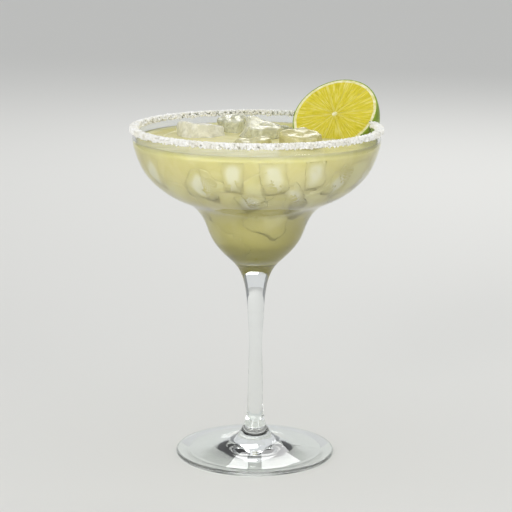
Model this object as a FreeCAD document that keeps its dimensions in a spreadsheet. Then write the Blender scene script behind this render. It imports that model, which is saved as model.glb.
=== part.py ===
import FreeCAD, Part
import math
import os
import Sketcher

# A margarita in its glass, standing upright on its foot. Millimetres, +Z up.
# The origin is the middle of the foot's rest plane. The half lime stands on the
# lip towards +X and +Y, and its cut face looks up and back over the drink.

doc = FreeCAD.newDocument("margarita")
Vector = FreeCAD.Vector

# ---------------------------------------------------------------- sizes

sheet = doc.addObject("Spreadsheet::Sheet", "sizes")
named = {}


def size(name, value):
    """Write one driving size to the sheet under its name, and give it back."""
    row = len(named) + 1
    sheet.set("A%d" % row, name)
    sheet.set("B%d" % row, str(value))
    sheet.setAlias("B%d" % row, name)
    named[name] = value
    return value


# The glass. Heights are above the table.
lip_height = size("lip_height", 167.0)
lip_radius = size("lip_radius", 61.0)
wall = size("wall", 1.4)
waist_height = size("waist_height", 121.0)
waist_radius = size("waist_radius", 26.2)
bowl_floor = size("bowl_floor", 103.0)
bulb_radius = size("bulb_radius", 15.6)
neck_height = size("neck_height", 91.0)
neck_radius = size("neck_radius", 6.6)
stem_radius = size("stem_radius", 3.3)
hub_height = size("hub_height", 14.5)
hub_radius = size("hub_radius", 5.7)
foot_radius = size("foot_radius", 40.0)
foot_edge = size("foot_edge", 2.2)
rest_width = size("rest_width", 5.6)
foot_hollow = size("foot_hollow", 1.4)

# The drink's level.
level_below_lip = size("level_below_lip", 8.6)

# The salt crust that covers the lip inside and out.
salt_thick = size("salt_thick", 1.7)
salt_depth = size("salt_depth", 3.2)

# The half lime. Its middle is given from the lip and by its bearing from +X, and
# its cut face by its tilt from level and its turn from +X.
lime_radius = size("lime_radius", 22.6)
lime_length = size("lime_length", 27.0)
lime_tip = size("lime_tip", 1.4)
lime_inside_lip = size("lime_inside_lip", 11.4)
lime_bearing = size("lime_bearing", 37.4)
lime_above_lip = size("lime_above_lip", 2.4)
lime_tilt = size("lime_tilt", 45.0)
lime_turn = size("lime_turn", 242.0)
slit_play = size("slit_play", 0.3)

# The ice. Its corners are melted round, and each lump has its own size. One lump
# lies beside the lime.
lime_clear = size("lime_clear", 5.3)
ice_round = size("ice_round", 1.5)
block_twist = size("block_twist", 34.0)
block_lean = size("block_lean", 11.0)
ice_sizes = {
    "ice_1": (23.0, 20.0, 22.0),
    "ice_2": (15.0, 15.0, 18.0),
    "ice_3": (20.0, 19.0, 24.0),
    "ice_4": (18.0, 19.0, 24.0),
    "ice_5": (13.0, 13.0, 16.0),
    "ice_6": (18.0, 16.0, 15.0),
}
for label, (long, wide, high) in ice_sizes.items():
    size(label + "_long", long)
    size(label + "_wide", wide)
    size(label + "_high", high)

# Where each lump floats: X and Y as shares of the bowl's inside radius, its rise
# out of the drink, and its turn in degrees about Z, Y and X.
room = lip_radius - wall
lime_x = (lip_radius - lime_inside_lip) * math.cos(math.radians(lime_bearing))
beside_lime = (lime_x - lime_radius - lime_clear) / room
ice_places = {
    "ice_1": (-0.478, 0.453, 8.2, 14, 8, -7),
    "ice_2": (-0.201, 0.755, 9.4, 38, -12, 9),
    "ice_3": (0.017, 0.403, 11.0, -22, 13, 12),
    "ice_4": (0.361, -0.151, 9.8, 31, -9, 14),
    "ice_5": (beside_lime, 0.755, 4.6, -12, 10, -9),
    "ice_6": (-0.017, 0.0, 4.2, 9, -10, 6),
}

drink_level = lip_height - level_below_lip


def at(radius, height):
    """Give a point of an outline: its distance from the axis and its height."""
    return Vector(radius, height, 0)


nearly_straight = 0.003


def joined(start, middle, end):
    """Join two points by the arc through a middle point, or by a line if it hardly bends."""
    if middle.distanceToLine(start, end - start) < nearly_straight:
        return Part.LineSegment(start, end)
    return Part.Arc(start, middle, end)


def arc_from(start, tangent, end):
    """Give the arc that leaves a point along a tangent and ends at another point."""
    chord = end - start
    side = Vector(-tangent.y, tangent.x, 0)
    lean = math.atan2(chord.dot(side), chord.dot(tangent))
    bulge = Vector(chord.y, -chord.x, 0) * (math.tan(lean / 2) / 2)
    return joined(start, (start + end) * 0.5 + bulge, end)


def arcs_through(points, first=None, last=None):
    """Lay a chain of tangent arcs through points, two arcs from each to the next.

    A smooth curve through the points gives the way the chain runs at each of them.
    """
    guide = Part.BSplineCurve()
    if first and last:
        guide.interpolate(Points=points, InitialTangent=first, FinalTangent=last)
    else:
        guide.interpolate(points)
    ways = [guide.tangent(guide.parameter(point))[0] for point in points]
    chain = []
    for start, end, way_out, way_in in zip(points, points[1:], ways, ways[1:]):
        chord = end - start
        forward = chord.dot(way_out + way_in)
        turn = 2 * (1 - way_out.dot(way_in))
        reach = (math.sqrt(forward * forward + turn * chord.dot(chord)) - forward) / turn
        middle = (start + end + (way_out - way_in) * reach) * 0.5
        chain.append(arc_from(start, way_out, middle))
        chain.append(arc_from(middle, (chord - way_out * reach - way_in * reach).normalize(), end))
    return chain


def share(low, high, part):
    """Give the value that lies this part of the way from low to high."""
    return low + (high - low) * part


# ---------------------------------------------------------------- outlines

same_place = 1e-7
level_out = Vector(1, 0, 0)
level_in = Vector(-1, 0, 0)
upright = Vector(0, 1, 0)

foot_outline = [
    at(foot_radius - foot_edge / 2, foot_edge),
    at(share(hub_radius, foot_radius, 0.62), share(foot_edge, hub_height, 0.10)),
    at(share(hub_radius, foot_radius, 0.30), share(foot_edge, hub_height, 0.27)),
    at(share(hub_radius, foot_radius, 0.11), share(foot_edge, hub_height, 0.55)),
]
stem_outline = [
    at(hub_radius, hub_height),
    at(share(stem_radius, hub_radius, 0.35), share(hub_height, neck_height, 0.10)),
    at(share(stem_radius, hub_radius, 0.16), share(hub_height, neck_height, 0.32)),
    at(stem_radius, share(hub_height, neck_height, 0.55)),
    at(share(stem_radius, neck_radius, 0.21), share(hub_height, neck_height, 0.745)),
    at(share(stem_radius, neck_radius, 0.44), share(hub_height, neck_height, 0.88)),
]
bulb_outline = [
    at(neck_radius, neck_height),
    at(share(neck_radius, bulb_radius, 0.34), share(neck_height, bowl_floor, 0.5)),
    at(bulb_radius, bowl_floor),
    at(share(bulb_radius, waist_radius, 0.65), share(bowl_floor, waist_height, 0.5)),
]
bowl_outline = [
    at(waist_radius, waist_height),
    at(share(waist_radius, lip_radius, 0.15), share(waist_height, lip_height, 0.141)),
    at(share(waist_radius, lip_radius, 0.45), share(waist_height, lip_height, 0.261)),
    at(share(waist_radius, lip_radius, 0.69), share(waist_height, lip_height, 0.391)),
    at(share(waist_radius, lip_radius, 0.89), share(waist_height, lip_height, 0.587)),
    at(share(waist_radius, lip_radius, 0.985), share(waist_height, lip_height, 0.783)),
    at(lip_radius, lip_height - wall / 2),
]
outside = arcs_through(foot_outline + stem_outline + bulb_outline + bowl_outline, level_in, upright)


def place_on(edge, height):
    """Find where a rising edge passes a height, by halving."""
    low = edge.FirstParameter
    high = edge.LastParameter
    if edge.value(low).y > edge.value(high).y:
        low, high = high, low
    for _ in range(50):
        middle = (low + high) / 2
        if edge.value(middle).y < height:
            low = middle
        else:
            high = middle
    return (low + high) / 2


def ends(edge):
    """Give both end points of an edge, the lower one first."""
    both = [edge.value(edge.FirstParameter), edge.value(edge.LastParameter)]
    return sorted(both, key=lambda point: point.y)


def stretch(chain, low, high):
    """Give the stretch of a rising chain of edges that lies between two heights."""
    kept = []
    for edge in chain:
        bottom, top = ends(edge)
        if top.y <= low + same_place or bottom.y >= high - same_place:
            continue
        if bottom.y >= low and top.y <= high:
            kept.append(edge)
            continue
        if bottom.y < low:
            bottom = edge.value(place_on(edge, low))
        if top.y > high:
            top = edge.value(place_on(edge, high))
        middle = edge.value(place_on(edge, (bottom.y + top.y) / 2))
        kept.append(joined(bottom, middle, top))
    return kept


def beside(edge, height, distance):
    """Give the point a distance outside a rising edge, square to it at a height."""
    place = place_on(edge, height)
    along = edge.tangent(place)[0]
    if along.y < 0:
        along = along * -1
    return edge.value(place) + Vector(along.y, -along.x, 0) * distance


def grown(chain, distance):
    """Move a rising chain of tangent arcs outwards by a distance, or inwards if negative."""
    moved = []
    for edge in chain:
        low, high = [point.y for point in ends(edge)]
        bottom, middle, top = [
            beside(edge, height, distance) for height in (low, (low + high) / 2, high)
        ]
        moved.append(joined(bottom, middle, top))
    return moved


lip_spring = lip_height - wall / 2
bulb_middle = share(bowl_floor, waist_height, 0.5)
inner_wall = grown(stretch(outside, bulb_middle, lip_spring), -wall)
wall_start = ends(inner_wall[0])[0]
wall_way = (beside(inner_wall[0], wall_start.y + same_place, wall) - wall_start).normalize()
floor_outline = [
    at(0, bowl_floor),
    at(0.5 * bulb_radius, bowl_floor + 0.4 * wall),
    at(bulb_radius - 0.4 * wall, bowl_floor + 2.9 * wall),
    wall_start,
]
inside = arcs_through(floor_outline, level_out, Vector(-wall_way.y, wall_way.x, 0)) + inner_wall

# ---------------------------------------------------------------- turned pieces


def plane_of(body, role):
    """Find one of a body's own origin planes by its role."""
    for feature in body.Origin.OriginFeatures:
        if feature.Role == role:
            return feature
    raise ValueError(role)


def turned(label, edges, pins):
    """Turn a closed outline about the Z axis into a body.

    The edges come in order, and each is joined to the next. A pin ties the corner
    at a point to the sheet: the formulas of its distance from the axis and height.
    """
    body = doc.addObject("PartDesign::Body", label)
    sketch = body.newObject("Sketcher::SketchObject", label + "_outline")
    sketch.AttachmentSupport = [(plane_of(body, "XZ_Plane"), "")]
    sketch.MapMode = "FlatFace"
    sketch.addGeometry(edges, False)
    corners = []
    for number in range(len(edges)):
        following = (number + 1) % len(edges)
        pairs = [(end, start) for end in (1, 2) for start in (1, 2)]
        end, start = min(pairs, key=lambda pair: sketch.getPoint(number, pair[0]).distanceToPoint(
            sketch.getPoint(following, pair[1])))
        sketch.addConstraint(Sketcher.Constraint("Coincident", number, end, following, start))
        corners.append((sketch.getPoint(number, end), number, end))
    for point, out, up in pins:
        corner, number, end = min(corners, key=lambda corner: corner[0].distanceToPoint(point))
        hold(sketch, "DistanceX", number, end, corner.x, out)
        hold(sketch, "DistanceY", number, end, corner.y, up)
    turn = body.newObject("PartDesign::Revolution", label + "_turned")
    turn.Profile = sketch
    turn.ReferenceAxis = (sketch, ["V_Axis"])
    turn.Angle = 360
    return body


def hold(sketch, kind, number, end, value, formula):
    """Hold one end of an edge at a distance that a formula of the sheet gives."""
    if formula is None:
        return
    if formula == "0":
        axis = -2 if kind == "DistanceX" else -1
        sketch.addConstraint(Sketcher.Constraint("PointOnObject", number, end, axis))
        return
    held = sketch.addConstraint(Sketcher.Constraint(kind, -1, 1, number, end, value))
    sketch.setExpression("Constraints[%d]" % held, formula)


# The glass: one piece of clear glass, foot, stem and bowl.
rest_outer = foot_radius - foot_edge / 2
rest_inner = rest_outer - rest_width
glass = turned(
    "glass",
    [
        Part.Arc(at(0, foot_hollow), at(rest_inner / 2, 0.75 * foot_hollow), at(rest_inner, 0)),
        Part.LineSegment(at(rest_inner, 0), at(rest_outer, 0)),
        Part.Arc(at(rest_outer, 0), at(foot_radius, foot_edge / 2), at(rest_outer, foot_edge)),
        *outside,
        Part.Arc(
            at(lip_radius, lip_spring),
            at(lip_radius - wall / 2, lip_height),
            at(lip_radius - wall, lip_spring),
        ),
        *reversed(inside),
        Part.LineSegment(at(0, bowl_floor), at(0, foot_hollow)),
    ],
    [
        (at(rest_inner, 0), "sizes.foot_radius - sizes.foot_edge / 2 - sizes.rest_width", "0"),
        (at(rest_outer, 0), "sizes.foot_radius - sizes.foot_edge / 2", "0"),
        (at(rest_outer, foot_edge), None, "sizes.foot_edge"),
        (at(lip_radius, lip_spring), "sizes.lip_radius", "sizes.lip_height - sizes.wall / 2"),
        (at(lip_radius - wall, lip_spring), "sizes.lip_radius - sizes.wall", None),
        (at(0, bowl_floor), "0", "sizes.bowl_floor"),
        (at(0, foot_hollow), "0", "sizes.foot_hollow"),
    ],
)

# The drink: a level pool that fills the bowl.
filled = stretch(inside, neck_height, drink_level)
pool_edge = ends(filled[-1])[1]
pool = turned(
    "pool",
    [
        *filled,
        Part.LineSegment(pool_edge, at(0, drink_level)),
        Part.LineSegment(at(0, drink_level), at(0, bowl_floor)),
    ],
    [
        (pool_edge, None, "sizes.lip_height - sizes.level_below_lip"),
        (at(0, drink_level), "0", "sizes.lip_height - sizes.level_below_lip"),
        (at(0, bowl_floor), "0", "sizes.bowl_floor"),
    ],
)

# The salt crust, before the lime is taken out of it: it wraps the lip and thins
# towards its lower edges.
crust_foot = lip_height - salt_depth
foot_thick = 0.6 * salt_thick
lip_middle = lip_radius - wall / 2
wet_outside = stretch(outside, crust_foot, lip_spring)
wet_inside = stretch(inside, crust_foot, lip_spring)
outer_start = ends(wet_outside[0])[0]
inner_start = ends(wet_inside[0])[0]
outer_foot = outer_start + Vector(foot_thick, 0, 0)
inner_foot = inner_start - Vector(foot_thick, 0, 0)
outer_spring = at(lip_radius + salt_thick, lip_spring)
inner_spring = at(lip_radius - wall - salt_thick, lip_spring)
crust = turned(
    "crust",
    [
        *wet_outside,
        Part.Arc(
            at(lip_radius, lip_spring),
            at(lip_middle, lip_height),
            at(lip_radius - wall, lip_spring),
        ),
        *reversed(wet_inside),
        Part.LineSegment(inner_start, inner_foot),
        Part.LineSegment(inner_foot, inner_spring),
        Part.Arc(inner_spring, at(lip_middle, lip_height + salt_thick), outer_spring),
        Part.LineSegment(outer_spring, outer_foot),
        Part.LineSegment(outer_foot, outer_start),
    ],
    [
        (at(lip_radius, lip_spring), "sizes.lip_radius", "sizes.lip_height - sizes.wall / 2"),
        (at(lip_radius - wall, lip_spring), "sizes.lip_radius - sizes.wall", None),
        (inner_start, None, "sizes.lip_height - sizes.salt_depth"),
        (inner_spring, "sizes.lip_radius - sizes.wall - sizes.salt_thick", None),
        (outer_spring, "sizes.lip_radius + sizes.salt_thick", None),
        (outer_start, None, "sizes.lip_height - sizes.salt_depth"),
    ],
)

# The slit that a knife leaves in the lime: the wall of the bowl with some play.
slit_low = lip_height - 1.2 * lime_radius
slit_top = lip_height + slit_play
slit_outer = grown(stretch(outside, slit_low, lip_spring), slit_play)
slit_inner = grown(stretch(inside, slit_low, lip_spring), -slit_play)
slit_outer_top = at(lip_radius + slit_play, slit_top)
slit_inner_top = at(lip_radius - wall - slit_play, slit_top)
slit = turned(
    "slit",
    [
        *slit_outer,
        Part.LineSegment(ends(slit_outer[-1])[1], slit_outer_top),
        Part.LineSegment(slit_outer_top, slit_inner_top),
        Part.LineSegment(slit_inner_top, ends(slit_inner[-1])[1]),
        *reversed(slit_inner),
        Part.LineSegment(ends(slit_inner[0])[0], ends(slit_outer[0])[0]),
    ],
    [
        (slit_outer_top, "sizes.lip_radius + sizes.slit_play", "sizes.lip_height + sizes.slit_play"),
        (slit_inner_top, "sizes.lip_radius - sizes.wall - sizes.slit_play", None),
    ],
)

# Half a lime, cut across its length: a long dome that ends in a small tip.
lime_outline = [at(0, -lime_length - lime_tip), at(0.10 * lime_radius, -lime_length - 0.5 * lime_tip)]
for turn in (74, 58, 40, 20, 0):
    out = lime_radius * math.cos(math.radians(turn))
    down = lime_length * math.sin(math.radians(turn))
    lime_outline.append(at(out, -down))
half_lime = turned(
    "half_lime",
    [
        *arcs_through(lime_outline, level_out, upright),
        Part.LineSegment(at(lime_radius, 0), at(0, 0)),
        Part.LineSegment(at(0, 0), lime_outline[0]),
    ],
    [
        (lime_outline[0], "0", "-sizes.lime_length - sizes.lime_tip"),
        (at(0, 0), "0", "0"),
        (at(lime_radius, 0), "sizes.lime_radius", "0"),
    ],
)
lime_reach = "(sizes.lip_radius - sizes.lime_inside_lip)"
half_lime.setExpression("Placement.Base.x", lime_reach + " * cos(sizes.lime_bearing * 1 deg)")
half_lime.setExpression("Placement.Base.y", lime_reach + " * sin(sizes.lime_bearing * 1 deg)")
half_lime.setExpression("Placement.Base.z", "sizes.lip_height + sizes.lime_above_lip")
half_lime.Placement.Rotation = FreeCAD.Rotation(lime_turn, lime_tilt, 0)


def cut(label, base, tool):
    """Take one shape out of another."""
    piece = doc.addObject("Part::Cut", label)
    piece.Base = base
    piece.Tool = tool
    return piece


lime = cut("lime", half_lime, slit)

# ---------------------------------------------------------------- ice


def melted_block(label, number, grow, spin):
    """Make one block of a lump, melted round along its twelve edges."""
    block = doc.addObject("Part::Box", "%s_block_%d" % (label, number))
    block.setExpression("Length", "sizes.%s_long * %s" % (label, grow))
    block.setExpression("Width", "sizes.%s_wide * %s" % (label, grow))
    block.setExpression("Height", "sizes.%s_high * %s" % (label, grow))
    corner = Vector(named[label + "_long"], named[label + "_wide"], named[label + "_high"])
    block.Placement = FreeCAD.Placement(spin.multVec(corner * (-grow / 2)), spin)
    melted = doc.addObject("Part::Fillet", "%s_melted_%d" % (label, number))
    melted.Base = block
    melted.Edges = [(edge, ice_round, ice_round) for edge in range(1, 13)]
    return melted


def lump(label, share_x, share_y, rise, turn, lean, nod):
    """Make one lump of ice: what two melted blocks, turned against each other, share."""
    first = FreeCAD.Rotation(turn, lean, nod)
    second = FreeCAD.Rotation(turn + block_twist, lean + block_lean, nod - block_lean)
    piece = doc.addObject("Part::Common", label)
    piece.Base = melted_block(label, 1, 1.0, first)
    piece.Tool = melted_block(label, 2, 1.06, second)
    doc.recompute()
    top = piece.Shape.BoundBox.ZMax
    piece.Placement.Base = Vector(share_x * room, share_y * room, drink_level + rise - top)
    return piece


lumps = [lump(label, *place) for label, place in ice_places.items()]

# ---------------------------------------------------------------- what meets the drink

sunk = doc.addObject("Part::MultiFuse", "sunk")
sunk.Shapes = lumps + [half_lime]
drink = cut("drink", pool, sunk)

salt_rim = cut("salt_rim", crust, half_lime)

# ---------------------------------------------------------------- check and write

doc.recompute()
for thing in doc.Objects:
    if "Invalid" in thing.State or "Error" in thing.State:
        raise RuntimeError("%s failed: %s" % (thing.Label, thing.State))

pieces = [glass, drink, salt_rim, lime] + lumps
for piece in pieces:
    if piece.Shape.isNull() or not piece.Shape.isValid():
        raise RuntimeError("%s has no good shape" % piece.Label)
    if len(piece.Shape.Solids) != 1:
        raise RuntimeError("%s is %d solids, not one" % (piece.Label, len(piece.Shape.Solids)))

os.makedirs("parts", exist_ok=True)
for piece in pieces:
    piece.Shape.exportStep(os.path.join("parts", piece.Label + ".step"))
    print("%s: %.0f cubic mm" % (piece.Label, piece.Shape.Volume))
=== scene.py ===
import bpy
import math
import random
from mathutils import Euler, Matrix, Vector, noise


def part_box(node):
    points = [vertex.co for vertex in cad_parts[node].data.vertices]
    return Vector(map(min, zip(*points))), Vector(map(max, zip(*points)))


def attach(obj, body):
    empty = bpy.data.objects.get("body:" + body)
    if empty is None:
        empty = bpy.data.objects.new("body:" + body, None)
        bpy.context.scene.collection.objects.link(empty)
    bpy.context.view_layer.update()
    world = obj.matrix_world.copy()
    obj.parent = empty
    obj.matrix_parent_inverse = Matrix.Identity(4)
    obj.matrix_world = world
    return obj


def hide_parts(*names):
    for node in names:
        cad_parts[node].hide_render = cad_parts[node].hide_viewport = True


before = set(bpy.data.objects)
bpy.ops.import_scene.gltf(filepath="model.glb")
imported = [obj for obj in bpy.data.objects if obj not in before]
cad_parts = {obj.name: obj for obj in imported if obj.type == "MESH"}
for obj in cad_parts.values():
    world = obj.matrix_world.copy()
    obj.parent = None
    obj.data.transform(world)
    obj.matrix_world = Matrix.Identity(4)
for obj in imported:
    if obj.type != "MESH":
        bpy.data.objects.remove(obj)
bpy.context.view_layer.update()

# ---------------------------------------------------------------- glass
# The glass is one piece of clear soda glass, blown and drawn, and fire polished
# at the lip. The CAD node has its true outline, so it takes a finish and stays.

mm = 0.001


def linear(code):
    """Turn an sRGB hex colour into the linear colour that a shader takes."""
    parts = [int(code[place:place + 2], 16) / 255 for place in (0, 2, 4)]
    bent = [part / 12.92 if part <= 0.04045 else ((part + 0.055) / 1.055) ** 2.4 for part in parts]
    return (*bent, 1.0)


def add(tree, kind, links=None, **settings):
    """Add a node, set its own settings, and link or set its inputs by name or number."""
    node = tree.nodes.new(kind)
    for name, value in settings.items():
        setattr(node, name, value)
    for name, value in (links or {}).items():
        if isinstance(value, bpy.types.NodeSocket):
            tree.links.new(value, node.inputs[name])
        else:
            node.inputs[name].default_value = value
    return node


def finish_named(name):
    """Start a material: its node tree, emptied, and its output."""
    material = bpy.data.materials.new(name)
    material.use_nodes = True
    material.node_tree.nodes.clear()
    output = add(material.node_tree, "ShaderNodeOutputMaterial")
    return material, material.node_tree, output


def let_lamps_through(tree, output, body, tint):
    """Let lamps light what stands behind clear glass or liquid, as they do."""
    open_way = add(tree, "ShaderNodeBsdfTransparent", {"Color": tint})
    path = add(tree, "ShaderNodeLightPath")
    both = add(tree, "ShaderNodeMixShader", {0: path.outputs["Is Shadow Ray"],
                                             1: body.outputs[0], 2: open_way.outputs[0]})
    tree.links.new(both.outputs[0], output.inputs["Surface"])


# Fire-polished soda glass: colourless, mirror smooth, with the faint waves of blown glass.
soda_glass, tree, output = finish_named("soda_glass_fire_polished")
place = add(tree, "ShaderNodeTexCoord")
waves = add(tree, "ShaderNodeTexNoise", {"Vector": place.outputs["Object"],
                                         "Scale": 1 / (14 * mm), "Detail": 1.0})
swell = add(tree, "ShaderNodeBump", {"Height": waves.outputs["Fac"], "Strength": 0.06,
                                     "Distance": 0.4 * mm})
body = add(tree, "ShaderNodeBsdfPrincipled", {"Base Color": linear("FBFDFC"), "Roughness": 0.0,
                                              "IOR": 1.52, "Transmission Weight": 1.0,
                                              "Normal": swell.outputs["Normal"]})
let_lamps_through(tree, output, body, linear("F4F8F6"))

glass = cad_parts["glass"]
glass.data.materials.clear()
glass.data.materials.append(soda_glass)

glass_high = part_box("glass")[1]
lip_height = glass_high.z
lip_radius = glass_high.x
wall = 1.4 * mm

# ---------------------------------------------------------------- drink
# The drink is tequila, lime juice and syrup, shaken cloudy with ice. It fills the
# bowl and climbs the wall a little; here it reaches just into the wall, so that
# no gap of air shows between the two.


def outline_of(node, low, high):
    """Read the outline of a turned CAD node along its seam, as distances and heights."""
    points = set()
    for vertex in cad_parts[node].data.vertices:
        spot = vertex.co
        if abs(spot.y) < 0.02 * mm and spot.x > 0 and low <= spot.z <= high:
            points.add((round(spot.x, 6), round(spot.z, 6)))
    return sorted(points, key=lambda point: point[1])


def deselect():
    """Deselect everything, so that the next operator acts on the new piece alone."""
    bpy.ops.object.select_all(action="DESELECT")


def raise_rings(name, outline, around):
    """Raise a ring of edges through an outline, ring by ring, and stay in edit mode."""
    deselect()
    radius, height = outline[0]
    bpy.ops.mesh.primitive_circle_add(vertices=around, radius=radius, location=(0, 0, 0))
    piece = bpy.context.object
    piece.name = name
    bpy.ops.object.mode_set(mode="EDIT")
    bpy.ops.mesh.select_mode(type="EDGE")
    bpy.ops.mesh.select_all(action="SELECT")
    bpy.ops.transform.translate(value=(0, 0, height))
    for before, after in zip(outline, outline[1:]):
        bpy.ops.mesh.extrude_edges_move(
            TRANSFORM_OT_translate={"value": (0, 0, after[1] - before[1])})
        grow = after[0] / before[0]
        bpy.ops.transform.resize(value=(grow, grow, 1), center_override=(0, 0, after[1]))
    return piece


def turn_up(name, outline, around):
    """Turn an outline into a solid, closed at both poles."""
    piece = raise_rings(name, outline, around)
    bpy.ops.mesh.edge_face_add()
    bpy.ops.mesh.poke()
    bpy.ops.mesh.select_all(action="DESELECT")
    bpy.ops.mesh.select_non_manifold()
    bpy.ops.mesh.edge_face_add()
    bpy.ops.mesh.poke()
    bpy.ops.mesh.select_all(action="SELECT")
    bpy.ops.mesh.normals_make_consistent(inside=False)
    bpy.ops.object.mode_set(mode="OBJECT")
    bpy.ops.object.shade_smooth()
    return piece


def pushed(outline, distance):
    """Move an outline outwards, square to its own run."""
    moved = []
    for number, (radius, height) in enumerate(outline):
        before = outline[max(number - 1, 0)]
        after = outline[min(number + 1, len(outline) - 1)]
        run = Vector((after[0] - before[0], after[1] - before[1])).normalized()
        moved.append((radius + run.y * distance, height - run.x * distance))
    return moved


drink_low, drink_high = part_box("drink")
drink_level = drink_high.z
climb_width = 4.0 * mm
climb_height = 2.8 * mm
into_wall = 0.35 * mm

wet_wall = [point for point in outline_of("drink", drink_low.z, drink_level - 0.05 * mm)
            if point[0] > 0.8 * mm]
level_edge = wet_wall[-1][0]
rise_share = climb_height / (lip_height - wall / 2 - drink_level)
contact = (level_edge + (lip_radius - wall - level_edge) * rise_share, drink_level + climb_height)
wet_wall = pushed(wet_wall + [contact], into_wall)
pool_edge = contact[0] - climb_width
bend = climb_width ** 2 / (2 * climb_height) + climb_height / 2
climb = []
for step in range(1, 9):
    out = pool_edge + climb_width * (1 - step / 8)
    climb.append((out, drink_level + bend - math.sqrt(max(bend ** 2 - (out - pool_edge) ** 2, 0))))
across = [(pool_edge * (1 - step / 26), drink_level) for step in range(1, 26)]

drink = turn_up("drink_shaken", wet_wall + climb + across, 144)
for vertex in drink.data.vertices:
    spot = vertex.co
    if spot.z > drink_level - 0.001 * mm and spot.xy.length < pool_edge + 1 * mm:
        slow = noise.noise(spot / (11 * mm))
        quick = noise.noise(spot / (3.5 * mm) + Vector((7, 3, 1)))
        spot.z += 0.45 * mm * slow + 0.22 * mm * quick


# Lime juice and triple sec, shaken: cloudy, pale yellow-green, with a gentle gloss.
# What is near the wall shows lighter and darker where ice and pulp drift, and painted shade turns it
# olive low in the bulb.
def margarita_colour_and_low_shade(tree):
    """Give the drink's colour: drifting paler clouds, and painted shade that turns it olive low in
    the bulb.
    """
    place = add(tree, "ShaderNodeTexCoord")
    drift = add(tree, "ShaderNodeTexNoise", {"Vector": place.outputs["Object"],
                                             "Scale": 1 / (15 * mm), "Detail": 3.0,
                                             "Roughness": 0.55, "Distortion": 0.9})
    clouds = add(tree, "ShaderNodeValToRGB", {"Fac": drift.outputs["Fac"]})
    clouds.color_ramp.elements[0].position = 0.30
    clouds.color_ramp.elements[0].color = linear("E4DB98")
    clouds.color_ramp.elements[1].position = 0.72
    clouds.color_ramp.elements[1].color = linear("EFE7B2")
    # Painted shade: the colour darkens to olive low in the bulb, where less light reaches.
    height = add(tree, "ShaderNodeSeparateXYZ", {"Vector": place.outputs["Object"]})
    low_shade = add(tree, "ShaderNodeMapRange", {"Value": height.outputs["Z"], "From Min": 104 * mm,
                                             "From Max": 140 * mm, "To Min": 1.0, "To Max": 0.0})
    shaded_low = add(tree, "ShaderNodeMix", {0: low_shade.outputs["Result"], 6: clouds.outputs["Color"],
                                         7: linear("B4AB5A")}, data_type="RGBA")
    return shaded_low.outputs[2]


def cloudy(tree, output, colour):
    """Give the drink's body, cloudy with pulp: light sinks in and spreads."""
    body = add(tree, "ShaderNodeBsdfPrincipled", {
        "Base Color": colour, "Roughness": 0.22, "IOR": 1.34,
        "Transmission Weight": 0.08, "Subsurface Weight": 0.5,
        "Subsurface Radius": (1.0, 0.95, 0.6), "Subsurface Scale": 6 * mm})
    let_lamps_through(tree, output, body, linear("8C8760"))


margarita, tree, output = finish_named("margarita_shaken_cloudy")
cloudy(tree, output, margarita_colour_and_low_shade(tree))

drink.data.materials.append(margarita)
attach(drink, "root")
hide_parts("drink")

# ---------------------------------------------------------------- floating ice
# Six lumps from a cracked block of ice float in the drink. Melting has rounded
# them, and the air and cracks that froze in show as white clouds.


def pick(piece):
    """Make a piece the one that the next operator acts on."""
    deselect()
    piece.select_set(True)
    bpy.context.view_layer.objects.active = piece


def finish_with(piece, kind, **settings):
    """Add one modifier and apply it."""
    pick(piece)
    bpy.ops.object.modifier_add(type=kind)
    modifier = piece.modifiers[-1]
    for name, value in settings.items():
        setattr(modifier, name, value)
    bpy.ops.object.modifier_apply(modifier=modifier.name)


def merged_copy(name, node):
    """Copy a CAD node's mesh into a piece of its own, with its loose faces merged."""
    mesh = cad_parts[node].data.copy()
    mesh.materials.clear()
    piece = bpy.data.objects.new(name, mesh)
    bpy.context.scene.collection.objects.link(piece)
    pick(piece)
    bpy.ops.object.mode_set(mode="EDIT")
    bpy.ops.mesh.select_all(action="SELECT")
    bpy.ops.mesh.remove_doubles(threshold=0.002 * mm)
    bpy.ops.object.mode_set(mode="OBJECT")
    return piece


def ice_finish(name, clear_part, white, tint):
    """Ice: clear where it froze slowly, clouded white by air; wet and smooth outside."""
    material, tree, output = finish_named(name)
    place = add(tree, "ShaderNodeTexCoord")
    drift = add(tree, "ShaderNodeTexNoise", {"Vector": place.outputs["Object"],
                                             "Scale": 1 / (8 * mm), "Detail": 4.0,
                                             "Roughness": 0.65, "Distortion": 1.4})
    clear = add(tree, "ShaderNodeMapRange", {"Value": drift.outputs["Fac"], "From Min": 0.42,
                                             "From Max": 0.62, "To Min": clear_part,
                                             "To Max": clear_part * 0.35})
    shade = add(tree, "ShaderNodeMix", {0: drift.outputs["Fac"], 6: linear(tint),
                                        7: linear(white)}, data_type="RGBA")
    pits = add(tree, "ShaderNodeTexNoise", {"Vector": place.outputs["Object"],
                                            "Scale": 1 / (4.5 * mm), "Detail": 1.0})
    swell = add(tree, "ShaderNodeBump", {"Height": pits.outputs["Fac"], "Strength": 0.15,
                                         "Distance": 0.5 * mm})
    body = add(tree, "ShaderNodeBsdfPrincipled", {
        "Base Color": shade.outputs[2], "Roughness": 0.12, "IOR": 1.31,
        "Transmission Weight": clear.outputs["Result"], "Subsurface Weight": 0.3,
        "Subsurface Radius": (1.0, 1.0, 1.0), "Subsurface Scale": 3 * mm,
        "Normal": swell.outputs["Normal"]})
    let_lamps_through(tree, output, body, linear("C4C8BC"))
    return material


frosted_ice = ice_finish("ice_frosted_wet", 0.35, "FAF8EE", "E2DFCC")
clear_ice = ice_finish("ice_clear_wet", 0.65, "E9E8D6", "CDCCB6")
stained_ice = ice_finish("ice_soaked_in_margarita", 0.40, "E0DAAC", "C6BF84")

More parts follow.
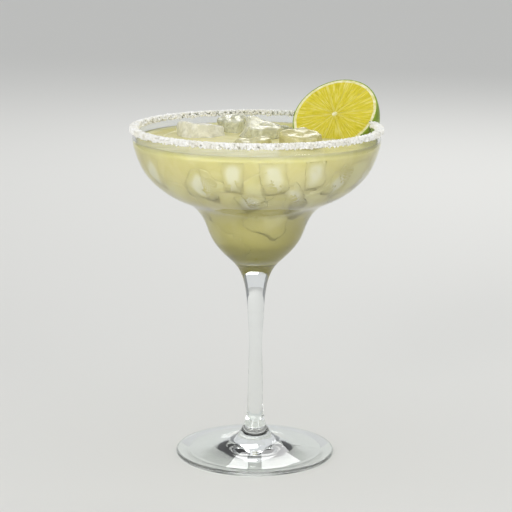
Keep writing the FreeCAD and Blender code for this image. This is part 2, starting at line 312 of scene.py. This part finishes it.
ice_looks = {"ice_1": frosted_ice, "ice_2": clear_ice, "ice_3": clear_ice,
             "ice_4": stained_ice, "ice_5": clear_ice, "ice_6": stained_ice}
melt_waves = bpy.data.textures.new("melt_waves", type="CLOUDS")
melt_waves.noise_scale = 9 * mm
melt_pits = bpy.data.textures.new("melt_pits", type="CLOUDS")
melt_pits.noise_scale = 2.6 * mm

for node, look in ice_looks.items():
    lump = merged_copy("floating_" + node, node)
    finish_with(lump, "REMESH", mode="VOXEL", voxel_size=0.6 * mm)
    finish_with(lump, "SMOOTH", factor=0.5, iterations=6)
    finish_with(lump, "DISPLACE", texture=melt_waves, texture_coords="LOCAL",
                strength=2.4 * mm, mid_level=0.62)
    finish_with(lump, "DISPLACE", texture=melt_pits, texture_coords="LOCAL",
                strength=0.2 * mm, mid_level=0.6)
    finish_with(lump, "SMOOTH", factor=0.5, iterations=4)
    pick(lump)
    bpy.ops.object.shade_smooth()
    lump.data.materials.append(look)
    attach(lump, "root")
    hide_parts(node)

# ---------------------------------------------------------------- sunk ice
# More lumps of the same ice hang under the surface and rest in the bulb. They
# show through the cloudy drink as soft pale shapes, clearest by the wall.

seeds = random.Random(41)
noise.seed_set(41)


def sunk_finish(name, white):
    """Ice under the drink: whitest where it presses on the wall, less white low in the bulb by
    painted shade, the drink's colour at its edge.
    """
    material, tree, output = finish_named(name)
    press = add(tree, "ShaderNodeAttribute", attribute_name="press", attribute_type="GEOMETRY")
    fade = add(tree, "ShaderNodeMapRange", {"Value": press.outputs["Fac"]},
               interpolation_type="SMOOTHSTEP")
    shade = add(tree, "ShaderNodeMix", {0: fade.outputs["Result"], 6: margarita_colour_and_low_shade(tree),
                                        7: linear(white)}, data_type="RGBA")
    cloudy(tree, output, shade.outputs[2])
    return material


sunk_pale = sunk_finish("ice_soaked_sunk", "EFE9B6")
sunk_white = sunk_finish("ice_frosted_sunk", "F8F3D6")


def room_at(height):
    """Give the inside radius of the bowl at a height, from the drink's outline."""
    for (low_radius, low), (high_radius, high) in zip(wet_wall, wet_wall[1:]):
        if low <= height <= high and high > low:
            return low_radius + (high_radius - low_radius) * (height - low) / (high - low)
    return wet_wall[-1][0]


deselect()
bpy.ops.mesh.primitive_cube_add(size=1.0, location=(0, 0, 0))
pattern = bpy.context.object
pattern.name = "ice_pattern"
bpy.ops.object.mode_set(mode="EDIT")
bpy.ops.mesh.subdivide(number_cuts=13)
bpy.ops.object.mode_set(mode="OBJECT")
finish_with(pattern, "SMOOTH", factor=0.5, iterations=16)
pattern_half = max(vertex.co.x for vertex in pattern.data.vertices)

# Each lump: its middle, its sizes, and its turn. Nine loose shards stand against
# the front of the bowl, and the rest lie as they fell.
loose_lumps = 20
most_tries = 600
sunk_lumps = []
for _ in range(most_tries):
    if len(sunk_lumps) == loose_lumps:
        break
    size = seeds.uniform(10, 17) * mm
    height = seeds.uniform(116, 151) * mm
    bearing = seeds.uniform(0, math.tau)
    out = room_at(height) - seeds.uniform(0.32, 0.6) * size
    if out < 0:
        continue
    spot = Vector((out * math.cos(bearing), out * math.sin(bearing), height))
    if all((spot - other[0]).length > 0.55 * (size + other[1][0]) for other in sunk_lumps):
        sizes = [size * seeds.uniform(0.8, 1.1) for _ in range(3)]
        turn = Euler([seeds.uniform(0, math.tau) for _ in range(3)])
        sunk_lumps.append((spot, sizes, turn, sunk_pale))
for bearing, height, wide, high, lean in (
        (-101, 153.0, 6.5, 13, 8), (-82, 152.5, 9.0, 14, -12), (-62, 153.0, 7.0, 12, -10),
        (-71, 143.0, 5.5, 20, -38), (-118, 146.0, 10.0, 9, 20), (-46, 147.0, 8.0, 10, 15),
        (-93, 139.0, 9.0, 8, -25), (-150, 150.0, 9.0, 10, 12), (-22, 146.0, 8.0, 9, 25)):
    height *= mm
    turn = math.radians(bearing)
    out = room_at(height) - 1.2 * mm
    spot = Vector((out * math.cos(turn), out * math.sin(turn), height))
    sunk_lumps.append((spot, (wide * mm, 6 * mm, high * mm),
                       Euler((0, math.radians(lean), turn + math.radians(90))), sunk_white))

for number, (spot, sizes, turn, look) in enumerate(sunk_lumps):
    mesh = pattern.data.copy()
    facing = turn.to_matrix().inverted() @ Vector((spot.x, spot.y, 0)).normalized()
    middles = [1 - (vertex.co - facing * vertex.co.dot(facing)).length / pattern_half
               for vertex in mesh.vertices]
    grow = Matrix.Diagonal([1.5 * part for part in sizes] + [1])
    mesh.transform(Matrix.Translation(spot) @ turn.to_matrix().to_4x4() @ grow)
    press = mesh.attributes.new("press", "FLOAT", "POINT")
    for vertex, middle in zip(mesh.vertices, middles):
        point = vertex.co + noise.noise_vector(vertex.co / (6 * mm)) * (2.2 * mm)
        point.z = min(point.z, drink_level - 0.3 * mm)
        room = room_at(point.z) + 0.15 * mm
        beyond = point.xy.length - room
        if beyond > 0:
            point.xy = point.xy * (room / point.xy.length)
        under = (drink_level - point.z) / (3.5 * mm)
        # Painted shade: lumps low in the bulb show less white, as the drink darkens there.
        low_shade_dim = min(max((point.z - 108 * mm) / (34 * mm), 0.35), 1)
        white = min(max(beyond / (3.2 * mm), 0), 1) * min(under, 1) * low_shade_dim
        press.data[vertex.index].value = white * min(max(middle / 0.6, 0), 1)
        vertex.co = point
    lump = bpy.data.objects.new("sunk_ice_%d" % (number + 1), mesh)
    bpy.context.scene.collection.objects.link(lump)
    pick(lump)
    bpy.ops.object.shade_smooth()
    lump.data.materials.append(look)
    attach(lump, "root")
bpy.data.objects.remove(pattern)

# ---------------------------------------------------------------- lime, shape
# Half a lime is cut across its segments and slit from the edge, and pushed over
# the lip. Its flesh faces the drinker, and its rind rests on both sides of the wall.

lime_radius = 22.6 * mm
lime_length = 27.0 * mm
lime_tip = 1.4 * mm
lime_bearing = math.radians(37.4)
lime_inside_lip = 11.4 * mm
lime_above_lip = 2.4 * mm
lime_lean = (0, math.radians(45), math.radians(242))
lime_reach = lip_radius - lime_inside_lip
lime_middle = Vector((lime_reach * math.cos(lime_bearing), lime_reach * math.sin(lime_bearing),
                      lip_height + lime_above_lip))
lime_place = Matrix.Translation(lime_middle) @ Euler(lime_lean, "XYZ").to_matrix().to_4x4()
zest_width = 0.7 * mm
pith_width = 1.5 * mm
flesh_radius = lime_radius - zest_width - pith_width
hub_radius = 1.3 * mm
segment_count = 10

dome = [(0.6 * mm, -lime_length - lime_tip), (2.0 * mm, -lime_length - 0.55 * lime_tip)]
for step in range(5, 60):
    turn = math.radians(90 - 90 * step / 60)
    dome.append((lime_radius * math.cos(turn), -lime_length * math.sin(turn)))
dome += [(lime_radius - 0.02 * mm, -0.25 * mm), (lime_radius - 0.22 * mm, 0)]
face = [(lime_radius - 0.5 * mm, 0), (lime_radius - zest_width, 0)]
ring = lime_radius - zest_width
while ring > 0.9 * mm:
    ring -= 0.36 * mm
    face.append((ring, 0))
lime = turn_up("lime_half", dome + face, 288)

seeds = random.Random(7)
walls = [(number + seeds.uniform(-0.16, 0.16)) * math.tau / segment_count
         for number in range(segment_count)]


def from_wall(bearing, radius):
    """Give how far a point of the cut face is from the nearest skin between segments."""
    apart = min(abs(math.remainder(bearing - wall_bearing, math.tau)) for wall_bearing in walls)
    return apart * radius


for vertex in lime.data.vertices:
    spot = vertex.co
    radius = spot.xy.length
    bearing = math.atan2(spot.y, spot.x)
    if spot.z > -0.01 * mm and radius < lime_radius - 0.4 * mm:
        grain = noise.noise(Vector((bearing * 9, radius / (3.4 * mm), 2.0)))
        fine = noise.noise(Vector((bearing * 26, radius / (1.5 * mm), 5.0)))
        if radius < flesh_radius:
            skin = math.exp(-(from_wall(bearing, radius) / (0.42 * mm)) ** 2)
            rim = math.exp(-((flesh_radius - radius) / (0.7 * mm)) ** 2)
            spot.z += (0.28 * grain + 0.2 * fine - 0.18) * mm * (1 - skin) + 0.1 * mm * (skin + rim)
            if radius < hub_radius:
                spot.z -= 0.35 * mm * (1 - radius / hub_radius)
        else:
            spot.z += 0.12 * fine * mm
    elif radius > 0:
        dimple = noise.noise(spot / (0.95 * mm))
        swell = noise.noise(spot / (6 * mm))
        outward = Vector((spot.x, spot.y, spot.z * 0.7)).normalized()
        spot += outward * (-0.14 * mm * max(dimple, 0) - 0.12 * mm * abs(swell))
lime.data.transform(lime_place)


def turn_ring(name, outline, around):
    """Turn a closed outline into a ring, back to where it began."""
    piece = raise_rings(name, outline + outline[:1], around)
    bpy.ops.mesh.select_all(action="SELECT")
    bpy.ops.mesh.remove_doubles(threshold=0.01 * mm)
    bpy.ops.mesh.normals_make_consistent(inside=False)
    bpy.ops.object.mode_set(mode="OBJECT")
    return piece


slit_play = 0.3 * mm
slit_inside = [(radius - into_wall - slit_play, height) for radius, height in wet_wall
               if height > lip_height - 30 * mm]
slit_inside.append((lip_radius - wall - slit_play, lip_height + slit_play))
slit_outside = [(radius + wall + 2 * slit_play, height) for radius, height in reversed(slit_inside)]
slit = turn_ring("slit_cutter", slit_inside + slit_outside, 180)
finish_with(lime, "BOOLEAN", operation="DIFFERENCE", object=slit, solver="EXACT")
bpy.data.objects.remove(slit)

# Each face is rind, pith or flesh by where it lies in the fruit, and each point
# knows how near it is to the skin between two segments.
to_fruit = lime_place.inverted()
parts = []
for face in lime.data.polygons:
    spot = to_fruit @ face.center
    radius = spot.xy.length
    depth_share = math.hypot(radius / lime_radius, spot.z / lime_length)
    if spot.z > -0.8 * mm and face.normal.dot(lime_place.to_3x3() @ Vector((0, 0, 1))) > 0.4:
        peel = radius > lime_radius - zest_width
        white = radius > flesh_radius or radius < hub_radius
    else:
        peel = depth_share > 0.975
        white = depth_share > 0.90
    parts.append(0 if peel else (1 if white else 2))
skin = lime.data.attributes.new("skin", "FLOAT", "POINT")
for vertex in lime.data.vertices:
    spot = to_fruit @ vertex.co
    radius = spot.xy.length
    near = from_wall(math.atan2(spot.y, spot.x), radius)
    skin.data[vertex.index].value = math.exp(-(near / (0.45 * mm)) ** 2) if radius > 0 else 1.0


def fruit_coordinates(tree):
    """Give a point's place in the fruit: X and Y across the cut face, Z out of it."""
    place = add(tree, "ShaderNodeTexCoord")
    return add(tree, "ShaderNodeMapping", {
        "Vector": place.outputs["Object"], "Location": lime_middle,
        "Rotation": lime_lean}, vector_type="TEXTURE")


# Rind: waxy and smooth between its oil glands, which show as small darker dots.
lime_rind, tree, output = finish_named("lime_rind_waxy")
fruit = fruit_coordinates(tree)
glands = add(tree, "ShaderNodeTexVoronoi", {"Vector": fruit.outputs["Vector"],
                                            "Scale": 1 / (1.3 * mm)}, feature="F1")
patches = add(tree, "ShaderNodeTexNoise", {"Vector": fruit.outputs["Vector"],
                                           "Scale": 1 / (5 * mm), "Detail": 3.0})
peel = add(tree, "ShaderNodeValToRGB", {"Fac": patches.outputs["Fac"]})
peel.color_ramp.elements[0].position = 0.3
peel.color_ramp.elements[0].color = linear("6E8C1A")
peel.color_ramp.elements[1].position = 0.7
peel.color_ramp.elements[1].color = linear("94A828")
dots = add(tree, "ShaderNodeMapRange", {"Value": glands.outputs["Distance"], "From Min": 0.0,
                                        "From Max": 0.5, "To Min": 0.82, "To Max": 1.0})
peel_dots = add(tree, "ShaderNodeMix", {0: 1.0, 6: peel.outputs["Color"],
                                        7: dots.outputs["Result"]},
                data_type="RGBA", blend_type="MULTIPLY")
swell = add(tree, "ShaderNodeBump", {"Height": glands.outputs["Distance"], "Strength": 0.4,
                                     "Distance": 0.25 * mm})
body = add(tree, "ShaderNodeBsdfPrincipled", {
    "Base Color": peel_dots.outputs[2], "Roughness": 0.34, "IOR": 1.45,
    "Subsurface Weight": 0.15, "Subsurface Radius": (1.0, 1.0, 0.3),
    "Subsurface Scale": 1.5 * mm, "Normal": swell.outputs["Normal"]})
tree.links.new(body.outputs[0], output.inputs["Surface"])

# Pith: matt, cream, a little spongy, and yellower in patches.
lime_pith, tree, output = finish_named("lime_pith_cut")
fruit = fruit_coordinates(tree)
sponge = add(tree, "ShaderNodeTexNoise", {"Vector": fruit.outputs["Vector"],
                                          "Scale": 1 / (2.2 * mm), "Detail": 4.0})
cream = add(tree, "ShaderNodeValToRGB", {"Fac": sponge.outputs["Fac"]})
cream.color_ramp.elements[0].position = 0.35
cream.color_ramp.elements[0].color = linear("D8D27C")
cream.color_ramp.elements[1].position = 0.62
cream.color_ramp.elements[1].color = linear("EFEBC6")
body = add(tree, "ShaderNodeBsdfPrincipled", {
    "Base Color": cream.outputs["Color"], "Roughness": 0.5, "IOR": 1.4,
    "Subsurface Weight": 0.3, "Subsurface Radius": (1.0, 1.0, 0.6), "Subsurface Scale": 1.5 * mm})
tree.links.new(body.outputs[0], output.inputs["Surface"])

# Flesh: wet juice sacs that run out from the hub, paler along their edges.
lime_flesh, tree, output = finish_named("lime_flesh_wet")
fruit = fruit_coordinates(tree)
spot = add(tree, "ShaderNodeSeparateXYZ", {"Vector": fruit.outputs["Vector"]})
bearing = add(tree, "ShaderNodeMath", {0: spot.outputs["Y"], 1: spot.outputs["X"]},
              operation="ARCTAN2")
flat = add(tree, "ShaderNodeCombineXYZ", {"X": spot.outputs["X"], "Y": spot.outputs["Y"]})
reach = add(tree, "ShaderNodeVectorMath", {0: flat.outputs[0]}, operation="LENGTH")
fan = add(tree, "ShaderNodeMath", {0: bearing.outputs[0], 1: 24.0}, operation="MULTIPLY")
sacs_long = add(tree, "ShaderNodeMath", {0: reach.outputs["Value"], 1: 1 / (7.5 * mm)},
                operation="MULTIPLY")
sacs = add(tree, "ShaderNodeCombineXYZ", {"X": fan.outputs[0], "Y": sacs_long.outputs[0]})
streaks = add(tree, "ShaderNodeTexNoise", {"Vector": sacs.outputs[0], "Scale": 1.0,
                                           "Detail": 4.0, "Roughness": 0.62, "Distortion": 0.35})
juice = add(tree, "ShaderNodeValToRGB", {"Fac": streaks.outputs["Fac"]})
juice.color_ramp.elements[0].position = 0.30
juice.color_ramp.elements[0].color = linear("C0B31A")
juice.color_ramp.elements[1].position = 0.72
juice.color_ramp.elements[1].color = linear("ECE288")
middle = juice.color_ramp.elements.new(0.52)
middle.color = linear("DACB33")
skins = add(tree, "ShaderNodeAttribute", attribute_name="skin", attribute_type="GEOMETRY")
skin_part = add(tree, "ShaderNodeMath", {0: skins.outputs["Fac"], 1: 0.16}, operation="MULTIPLY")
fleshy = add(tree, "ShaderNodeMix", {0: skin_part.outputs[0], 6: juice.outputs["Color"],
                                     7: linear("EDE7AE")}, data_type="RGBA")
swell = add(tree, "ShaderNodeBump", {"Height": streaks.outputs["Fac"], "Strength": 0.5,
                                     "Distance": 0.5 * mm})
body = add(tree, "ShaderNodeBsdfPrincipled", {
    "Base Color": fleshy.outputs[2], "Roughness": 0.3, "IOR": 1.36,
    "Subsurface Weight": 0.25, "Subsurface Radius": (1.0, 0.9, 0.2),
    "Subsurface Scale": 2.5 * mm, "Normal": swell.outputs["Normal"]})
tree.links.new(body.outputs[0], output.inputs["Surface"])

for finish in (lime_rind, lime_pith, lime_flesh):
    lime.data.materials.append(finish)
for face, part in zip(lime.data.polygons, parts):
    face.material_index = part
pick(lime)
bpy.ops.object.shade_smooth_by_angle(angle=math.radians(50))
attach(lime, "root")
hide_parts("lime")

# ---------------------------------------------------------------- salt rim
# Coarse salt clings to the lip where lime juice wetted it, inside and out. Fused
# lumps lie on the glass, and loose cubes of salt stand on them, thinner at the back.

seeds = random.Random(23)
salt_high = lip_height + 0.55 * mm
salt_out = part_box("salt_rim")[1].x - 0.03 * mm
band_depth = 2.5 * mm
spring = lip_height - wall / 2
lip_middle = lip_radius - wall / 2
lip_run = math.pi * wall / 2
band_run = 2 * (band_depth - wall / 2) + lip_run


def on_lip(run):
    """Give a place on the lip's outline and the way out of the glass there.

    The run goes from the band's outer edge, up over the lip, to its inner edge.
    """
    side = band_depth - wall / 2
    if run < side:
        height = spring - side + run
        return lip_radius - 0.09 * (spring - height), height, 1.0, 0.0
    if run < side + lip_run:
        turn = math.pi * (run - side) / lip_run
        return (lip_middle + wall / 2 * math.cos(turn), spring + wall / 2 * math.sin(turn),
                math.cos(turn), math.sin(turn))
    height = spring - (run - side - lip_run)
    return lip_radius - wall - 0.09 * (spring - height), height, -1.0, 0.0


def cover(bearing, run):
    """Give how thickly salt lies at a place on the lip, from 0 to 1."""
    back = max(math.sin(bearing), 0.0)
    edge = min(run, band_run - run) / (0.9 * mm)
    spot = Vector((math.cos(bearing), math.sin(bearing), 0)) * 14
    drift = 0.5 + 0.5 * noise.noise(spot + Vector((0, 0, run / (2.2 * mm))))
    inside = 1.0 if run > band_run / 2 else 0.4
    bare = 0.62 * back ** 0.6 * inside * math.exp(-((run / band_run - 0.72) / 0.16) ** 2)
    return max(min(edge, 1.0) * (0.55 + 0.6 * drift) - bare, 0.0)


def in_lime(spot):
    """Tell whether a place lies inside the fruit."""
    local = to_fruit @ spot
    if local.z > 0.6 * mm:
        return False
    return math.hypot(local.xy.length / lime_radius, local.z / lime_length) < 1.02


def scatter(name, pattern, count, sizes, lift, squash):
    """Copy a small pattern all over the lip into one mesh."""
    corners = [vertex.co.copy() for vertex in pattern.data.vertices]
    sides = [tuple(face.vertices) for face in pattern.data.polygons]
    points = []
    faces = []
    laid = 0
    while laid < count:
        bearing = seeds.uniform(0, math.tau)
        run = seeds.uniform(0, band_run)
        if seeds.random() > cover(bearing, run):
            continue
        size = seeds.uniform(*sizes)
        radius, height, outward, upward = on_lip(run)
        off = seeds.uniform(*lift)
        radius += outward * off
        height += upward * off
        radius = min(radius, salt_out - 0.75 * size)
        height = min(height, salt_high - 0.75 * size)
        spot = Vector((radius * math.cos(bearing), radius * math.sin(bearing), height))
        if in_lime(spot):
            continue
        turn = Euler([seeds.uniform(0, math.tau) for _ in range(3)]).to_matrix()
        grow = [size * seeds.uniform(squash, 1.0) for _ in range(3)]
        start = len(points)
        for corner in corners:
            points.append(spot + turn @ Vector([part * scale for part, scale in zip(corner, grow)]))
        faces += [tuple(start + index for index in side) for side in sides]
        laid += 1
    mesh = bpy.data.meshes.new(name)
    mesh.from_pydata(points, [], faces)
    piece = bpy.data.objects.new(name, mesh)
    bpy.context.scene.collection.objects.link(piece)
    return piece


deselect()
bpy.ops.mesh.primitive_cube_add(size=1.0, location=(0, 0, 0))
cube = bpy.context.object
deselect()
bpy.ops.mesh.primitive_ico_sphere_add(subdivisions=1, radius=0.5, location=(0, 0, 0))
pebble = bpy.context.object

crust = scatter("salt_crust", pebble, 1500, (0.7 * mm, 1.4 * mm), (0.0, 0.3 * mm), 0.55)
grains = scatter("salt_grains", cube, 6800, (0.45 * mm, 1.05 * mm), (0.1 * mm, 1.15 * mm), 0.7)
bpy.data.objects.remove(cube)
bpy.data.objects.remove(pebble)

# Sea salt: white, a little clear at the edges, with small bright faces.
sea_salt, tree, output = finish_named("sea_salt_coarse")
place = add(tree, "ShaderNodeTexCoord")
wet = add(tree, "ShaderNodeTexNoise", {"Vector": place.outputs["Object"],
                                       "Scale": 1 / (5 * mm), "Detail": 2.0})
whites = add(tree, "ShaderNodeValToRGB", {"Fac": wet.outputs["Fac"]})
whites.color_ramp.elements[0].position = 0.3
whites.color_ramp.elements[0].color = linear("EDEADD")
whites.color_ramp.elements[1].position = 0.6
whites.color_ramp.elements[1].color = linear("FDFCF8")
body = add(tree, "ShaderNodeBsdfPrincipled", {
    "Base Color": whites.outputs["Color"], "Roughness": 0.3, "IOR": 1.54,
    "Subsurface Weight": 0.3, "Subsurface Radius": (1.0, 1.0, 1.0), "Subsurface Scale": 0.5 * mm})
tree.links.new(body.outputs[0], output.inputs["Surface"])

for piece in (crust, grains):
    piece.data.materials.append(sea_salt)
    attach(piece, "root")
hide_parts("salt_rim")
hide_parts("salt_rim")

# ---------------------------------------------------------------- floor and light
# A plain pale floor, a soft lamp low in front on the left, a weaker one on the
# right, a wide one high behind, and a grey card on each side of the glass.

deselect()
bpy.ops.mesh.primitive_plane_add(size=30, location=(0, 0, 0))
floor = bpy.context.object
floor.name = "floor"
floor_paint, tree, output = finish_named("floor_matt_pale")
body = add(tree, "ShaderNodeBsdfPrincipled", {"Base Color": linear("D9D8D4"), "Roughness": 0.8})
tree.links.new(body.outputs[0], output.inputs["Surface"])
floor.data.materials.append(floor_paint)


def lamp(name, spot, aim, wide, high, watts):
    """Hang one soft rectangular lamp, aimed at a point."""
    deselect()
    bpy.ops.object.light_add(type="AREA", location=spot)
    light = bpy.context.object
    light.name = name
    light.data.shape = "RECTANGLE"
    light.data.size = wide
    light.data.size_y = high
    light.data.energy = watts
    light.rotation_euler = (Vector(aim) - Vector(spot)).to_track_quat("-Z", "Y").to_euler()
    return light


bowl_middle = (0, 0, 0.14)
lamp("lamp_key", (-0.55, -1.0, 0.45), bowl_middle, 0.35, 0.7, 5)
lamp("lamp_fill", (0.75, -0.85, 0.4), bowl_middle, 0.3, 0.7, 2.6)
lamp("lamp_back", (0.35, 1.1, 0.95), bowl_middle, 1.0, 0.5, 6)


def flag(name, spot, wide, high):
    """Stand a grey card beside the glass, seen only in it, where it darkens the edges."""
    deselect()
    bpy.ops.mesh.primitive_plane_add(size=1, location=(0, 0, 0))
    card = bpy.context.object
    card.name = name
    card.data.transform(Matrix.Translation(spot) @ Matrix.Rotation(math.radians(90), 4, "Y")
                        @ Matrix.Diagonal((high, wide, 1, 1)))
    card.visible_camera = False
    card.visible_diffuse = False
    card.visible_shadow = False
    card.data.materials.append(card_grey)


card_grey, tree, output = finish_named("card_grey")
body = add(tree, "ShaderNodeBsdfPrincipled", {"Base Color": linear("86888A"), "Roughness": 0.9})
tree.links.new(body.outputs[0], output.inputs["Surface"])
flag("flag_left", (-0.45, 0.2, 0.3), 0.9, 0.56)
flag("flag_right", (0.45, 0.2, 0.3), 0.9, 0.56)

world = bpy.data.worlds.new("studio")
bpy.context.scene.world = world
world.use_nodes = True
world.node_tree.nodes["Background"].inputs["Color"].default_value = linear("F0F2F4")
world.node_tree.nodes["Background"].inputs["Strength"].default_value = 0.8

# ---------------------------------------------------------------- camera
# A long lens looks a little down at the glass from 0.9 m away.

camera_data = bpy.data.cameras.new("camera")
camera_data.lens = 124.45
camera_data.sensor_width = 36
camera = bpy.data.objects.new("camera", camera_data)
bpy.context.scene.collection.objects.link(camera)
look_down = Matrix.Rotation(math.radians(77.89), 3, "X") @ Matrix.Rotation(math.radians(0.36), 3, "Z")
camera.rotation_euler = look_down.to_euler()
camera.location = (0, -863 * mm, 287 * mm)
bpy.context.scene.camera = camera
bpy.context.scene.view_settings.view_transform = "Standard"
bpy.context.scene.cycles.diffuse_bounces = 8
